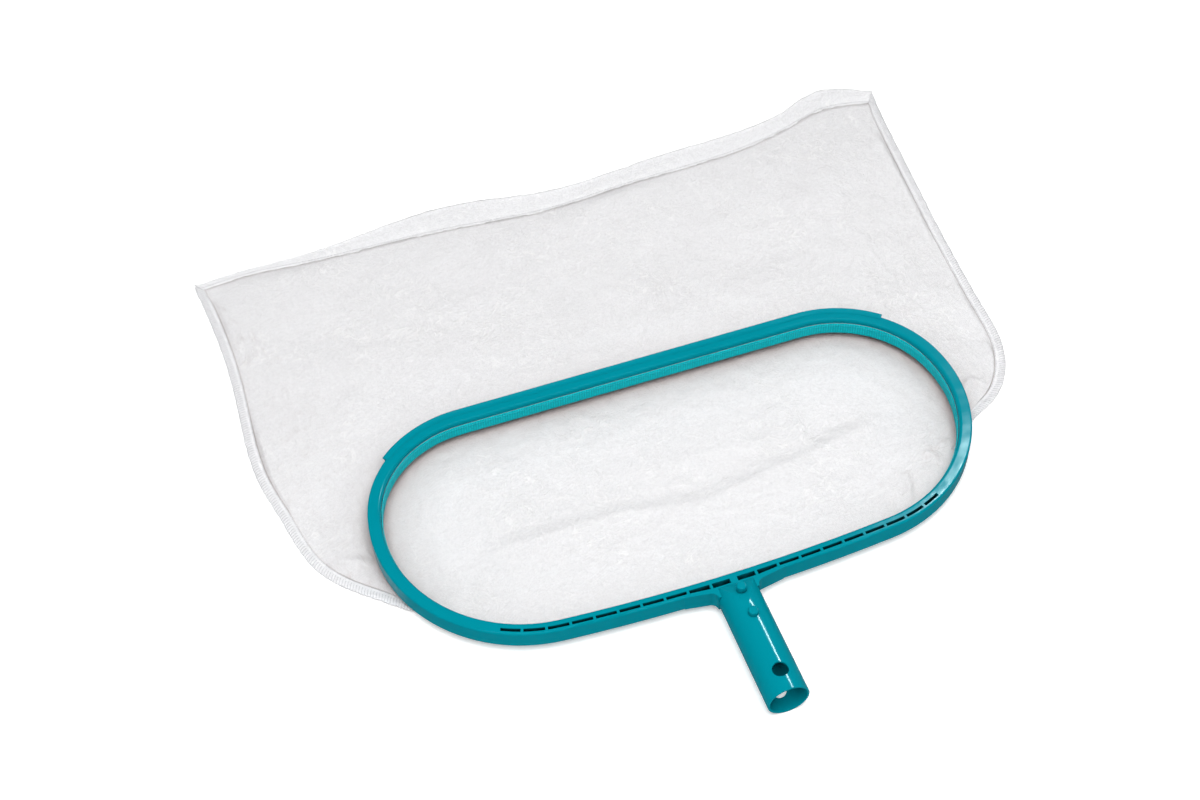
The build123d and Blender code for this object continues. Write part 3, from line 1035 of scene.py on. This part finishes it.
class SKIMMER_OT_top_panel(bpy.types.Operator):
    """Lays the upper ply of the bag, from the rim out to the seams"""

    bl_idname = "skimmer.top_panel"
    bl_label = "Lay Upper Panel"

    def execute(self, context):
        net = context.scene.skimmer_net
        side_steps, far_steps, rows = 170, 260, 76
        hem = smooth_line(HEM_LINE, far_steps)
        left = seam_line(LEFT_EDGE, LEFT_START, hem[0], net.seam_w)
        right = seam_line(RIGHT_EDGE, RIGHT_START, hem[-1], net.seam_w)
        outer = np.vstack([
            resample(left, side_steps)[:-1], hem, resample(right, side_steps)[::-1][1:],
        ])
        rim = np.vstack([
            rim_part(LEFT_START, LEFT_CORNER, side_steps)[:-1],
            rim_part(LEFT_CORNER, RIGHT_CORNER, far_steps),
            rim_part(RIGHT_CORNER, RIGHT_START, side_steps)[1:],
        ])
        share = (np.linspace(0, 1, rows) ** 1.35)[:, None]
        x = rim[None, :, 0] * (1 - share) + outer[None, :, 0] * share
        y = rim[None, :, 1] * (1 - share) + outer[None, :, 1] * share
        out = np.hypot(x - rim[None, :, 0], y - rim[None, :, 1])
        z = top_height(x, y, out, np.broadcast_to(share, x.shape), net)
        on_floor_ply = floor_height(x, y, net) + 2 * net.cloth_t
        z = np.maximum(z, np.where(out > 2 * MM, on_floor_ply, z))
        points = np.stack([x, y, z], axis=2).reshape(-1, 3)
        piece = new_piece("net_upper_cloth", points, grid_faces(rows, x.shape[1]), points[:, :2])
        face_up(piece)
        thicken(piece, net.cloth_t)
        give(piece, net_material(net))
        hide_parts("net_upper_panel")
        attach(piece, "root")
        return {"FINISHED"}


class SKIMMER_OT_side_seams(bpy.types.Operator):
    """Sews the bag's sides with overlocked seams"""

    bl_idname = "skimmer.side_seams"
    bl_label = "Sew Side Seams"

    def execute(self, context):
        net = context.scene.skimmer_net
        stitching = context.scene.skimmer_stitching
        hem = smooth_line(HEM_LINE, SEAM_STEPS)
        sides = (
            ("left", LEFT_EDGE, LEFT_START, hem[0], 71),
            ("right", RIGHT_EDGE, RIGHT_START, hem[-1], 75),
        )
        for side, edge, start, corner, seed in sides:
            inner = resample(seam_line(edge, start, corner, net.seam_w + 1.5 * MM), TAPE_STEPS)
            outer = resample(edge, TAPE_STEPS)
            run = length_along(outer)
            pucker = waves(run, 0 * run, 8 * MM, seed) * 0.45 * MM
            outer = outer + side_of(outer) * pucker[:, None]

            def height(x, y, share, seed=seed):
                thick = 0.5 + 0.75 * fade(share * 2.2) * fade((1 - share) * 4)
                ripple = 0.35 * MM * waves(x + 3 * y, y, 7 * MM, seed + 1) * fade(share * 3)
                return floor_height(x, y, net) + net.seam_t * thick + ripple

            tape = ribbon("side_seam_tape_" + side, inner, outer, TAPE_ROWS, height, net)
            give(tape, seam_material(net))
            centre = on_cloth(inner * 0.3 + outer * 0.7, net, 0.9 * MM)
            loops = overlock(
                "side_seam_overlock_" + side, centre, 0.66 * net.seam_w, net.seam_t * 2.2, stitching,
            )
            line = on_cloth(inner * 0.8 + outer * 0.2, net, 1.25 * MM)
            stitches = sew("side_seam_stitches_" + side, line, stitching)
            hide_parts("side_seam_" + side)
            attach(tape, "root")
        return {"FINISHED"}


class SKIMMER_OT_end_hem(bpy.types.Operator):
    """Folds and sews the hem along the bag's far edge"""

    bl_idname = "skimmer.end_hem"
    bl_label = "Sew End Hem"

    def execute(self, context):
        net = context.scene.skimmer_net
        stitching = context.scene.skimmer_stitching
        inner, outer = smooth_line(HEM_LINE, STRIP_STEPS), smooth_line(FAR_OUT, STRIP_STEPS)
        inner = inner - 1.2 * MM * side_of(inner)
        run = length_along(outer)
        outer = outer + side_of(outer) * (waves(run, 0 * run, 14 * MM, 81) * 0.5 * MM)[:, None]
        # The corners, where the seams end in a small knob: place and height in mm.
        knobs = ((LEFT_OUT[-1], 2.2), (RIGHT_OUT[-1], 1.8))

        def height(x, y, share):
            lift = 0.2 + 0.6 * fade(share * 3) + 0.4 * np.sin(pi * share)
            lift = lift + 0.5 * waves(x, y, 26 * MM, 83)
            lift = lift + 0.35 * waves(x, y, 8 * MM, 85) + 0.7 * fade((share - 0.8) / 0.2)
            for (kx, ky), high in knobs:
                lift = lift + high * np.exp(-((x - kx) ** 2 + (y - ky) ** 2) / (6 * MM) ** 2)
            return FLOOR_Z + net.seam_t + np.maximum(lift, 0.2) * MM

        strip = ribbon("end_hem_strip", inner, outer, STRIP_ROWS, height, net)
        give(strip, seam_material(net))
        line = on_cloth(inner + 2 * MM * side_of(inner), net, 1.9 * MM)
        stitches = sew("end_hem_stitches", line, stitching)
        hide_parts("end_hem")
        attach(strip, "root")
        return {"FINISHED"}


# ---- stage ----

# Half of the floor's width.
FLOOR_HALF = 15
# Where each lamp stands, from the middle of the hoop: direction and distance.
GLINT_WAY, GLINT_AWAY = (0.48, 0.4, 0.78), 2.04
OVERHEAD_WAY, OVERHEAD_AWAY = (-0.08, -0.24, 1), 2.6
OVERHEAD_SIZE = 2.2
SENSOR_WIDTH = 36


def soft_light(name, middle, direction, distance, size, power):
    """A square lamp that faces the hoop."""
    lamp = bpy.data.lights.new(name, "AREA")
    lamp.shape, lamp.size, lamp.energy = "SQUARE", size, power
    holder = new_object(name, lamp)
    away = Vector(direction).normalized()
    holder.location = middle + away * distance
    holder.rotation_mode = "QUATERNION"
    holder.rotation_quaternion = away.to_track_quat("Z", "Y")
    return holder


def place_camera(scene, stage, aim):
    """The camera, by its angles round the point that it aims at."""
    data = bpy.data.cameras.new("Camera")
    data.sensor_width, data.lens = SENSOR_WIDTH, stage.lens
    camera = new_object("Camera", data)
    side, up = stage.azimuth, stage.elevation
    back = Vector((sin(side) * cos(up), -cos(side) * cos(up), sin(up)))
    camera.location = aim + back * stage.distance
    camera.rotation_mode = "QUATERNION"
    camera.rotation_quaternion = back.to_track_quat("Z", "Y") @ Quaternion((0, 0, 1), stage.roll)
    scene.camera = camera


class SKIMMER_OT_stage(bpy.types.Operator):
    """Sets the floor, the lights and the camera"""

    bl_idname = "skimmer.stage"
    bl_label = "Set Stage"

    def execute(self, context):
        stage = context.scene.skimmer_stage
        scene = context.scene
        scene.view_settings.view_transform = "Standard"
        sides = ((-1, -1), (1, -1), (1, 1), (-1, 1))
        corners = [(x * FLOOR_HALF, y * FLOOR_HALF, cad_low.z) for x, y in sides]
        floor = new_piece("stage_floor", corners, [(0, 1, 2, 3)])
        give(floor, pale_floor("Pale floor", stage))
        middle = (HOOP_LOW + HOOP_HIGH) / 2
        glint = soft_light(
            "Glint light", middle, GLINT_WAY, GLINT_AWAY, stage.glint_size, stage.glint,
        )
        glint.visible_diffuse = glint.visible_transmission = False
        soft_light(
            "Overhead light", middle, OVERHEAD_WAY, OVERHEAD_AWAY, OVERHEAD_SIZE, stage.overhead,
        )
        world = bpy.data.worlds.new("Studio")
        world.use_nodes = True
        back = world.node_tree.nodes["Background"]
        back.inputs["Color"].default_value = (1, 1, 1, 1)
        back.inputs["Strength"].default_value = stage.ambient
        scene.world = world
        place_camera(scene, stage, middle + Vector(stage.aim))
        return {"FINISHED"}


# ---- panel and start ----


class SKIMMER_PT_panel(bpy.types.Panel):
    """Lists the pieces of the net in the order that they are made"""

    bl_label = "Leaf Skimmer Net"
    bl_idname = "SKIMMER_PT_panel"
    bl_space_type = "VIEW_3D"
    bl_region_type = "UI"
    bl_category = "Skimmer"

    def draw(self, context):
        for maker in OPERATORS:
            self.layout.operator(maker.bl_idname)


SETTINGS = {
    "skimmer_plastic": SkimmerPlastic,
    "skimmer_net": SkimmerNet,
    "skimmer_stitching": SkimmerStitching,
    "skimmer_stage": SkimmerStage,
}
OPERATORS = (
    SKIMMER_OT_frame,
    SKIMMER_OT_rim_hem,
    SKIMMER_OT_floor_panel,
    SKIMMER_OT_top_panel,
    SKIMMER_OT_side_seams,
    SKIMMER_OT_end_hem,
    SKIMMER_OT_stage,
)


def register():
    for group in SETTINGS.values():
        bpy.utils.register_class(group)
    for maker in (*OPERATORS, SKIMMER_PT_panel):
        bpy.utils.register_class(maker)
    for name, group in SETTINGS.items():
        setattr(bpy.types.Scene, name, PointerProperty(type=group))


def unregister():
    for name in SETTINGS:
        delattr(bpy.types.Scene, name)
    for maker in reversed((*SETTINGS.values(), *OPERATORS, SKIMMER_PT_panel)):
        bpy.utils.unregister_class(maker)


def main():
    register()
    for maker in OPERATORS:
        group, name = maker.bl_idname.split(".")
        getattr(getattr(bpy.ops, group), name)()


if __name__ == "__main__":
    main()
